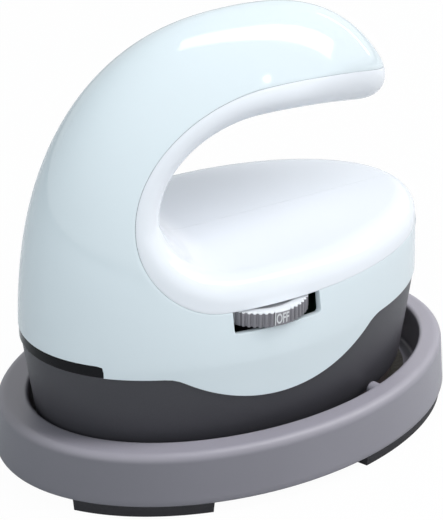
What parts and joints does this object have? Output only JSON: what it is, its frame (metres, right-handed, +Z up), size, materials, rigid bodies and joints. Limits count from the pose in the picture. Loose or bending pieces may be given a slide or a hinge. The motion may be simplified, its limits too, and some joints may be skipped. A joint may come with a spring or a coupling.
{
  "type": "handheld heat press",
  "caption": "Small handheld heat press with an open C-shaped grip, an oval hot plate under a dark skirt and a side dial, standing in an oval rest tray on feet.",
  "frame": {"origin": "on the ground under the middle of the rest tray", "axes": "+Z up, -X towards the nose where the grip's spine rises, +X towards the open end of the grip and the cord inlet, -Y the side with the dial"},
  "size_m": [0.1378, 0.0938, 0.1223],
  "materials": {
    "tray_grey": "satin moulded plastic",
    "foot_rubber": "matt",
    "mat_fibre": "pressed fibre",
    "silicone": "matt",
    "screw_steel": "bright",
    "sole_aluminium": "coated sole, machined top",
    "element_steel": "drawn tube",
    "clamp_steel": "rolled sheet",
    "ceramic": "fired ceramic",
    "felt": "ceramic felt",
    "fuse_body": "glazed",
    "skirt_dark": "fine spark texture",
    "shell_blue": "smooth satin",
    "liner_white": "soft gloss",
    "window_smoke": "smoked, polished",
    "dial_grey": "satin",
    "inlet_black": "matt",
    "board_green": "solder mask",
    "component_black": "moulded",
    "lamp_lens": "clear tinted",
    "lead_jacket": "woven sleeve"
  },
  "bodies": {
    "base": {"base_tray": "tray_grey", "base_mat": "mat_fibre", "rest_posts": "silicone", "foot_nose_left": "foot_rubber", "foot_nose_right": "foot_rubber", "foot_heel_left": "foot_rubber", "foot_heel_right": "foot_rubber", "foot_screws": "screw_steel"},
    "press": {"heat_plate": "sole_aluminium", "heating_element": "element_steel", "element_clamp": "clamp_steel", "clamp_screws": "screw_steel", "thermostat": "ceramic", "thermal_fuse": "fuse_body", "insulation_pad": "felt", "insulating_spacers": "ceramic", "plate_screws": "screw_steel", "heat_shield": "clamp_steel", "skirt_housing": "skirt_dark", "side_shell_left": "shell_blue", "side_shell_right": "shell_blue", "grip_liner_left": "liner_white", "grip_liner_right": "liner_white", "shell_screws": "screw_steel", "indicator_window": "window_smoke", "cord_inlet": "inlet_black", "rotary_switch": "component_black", "control_board": "board_green", "board_parts": "component_black", "board_screws": "screw_steel", "lamp_board": "board_green", "indicator_lamps": "lamp_lens", "terminal_block": "ceramic", "mains_leads": "lead_jacket", "element_leads": "lead_jacket"},
    "dial": {"dial_wheel": "dial_grey", "dial_shaft": "component_black"}
  },
  "joints": [
    {"name": "press_lift", "type": "slide", "parent": "base", "child": "press", "axis": [0, 0, 1], "range_m": [0, 0.06]},
    {"name": "dial_turn", "type": "hinge", "parent": "press", "child": "dial", "pos_m": [-0.005, -0.026, 0.05], "axis": [0, 0, 1], "range_deg": [0, 180]}
  ]
}
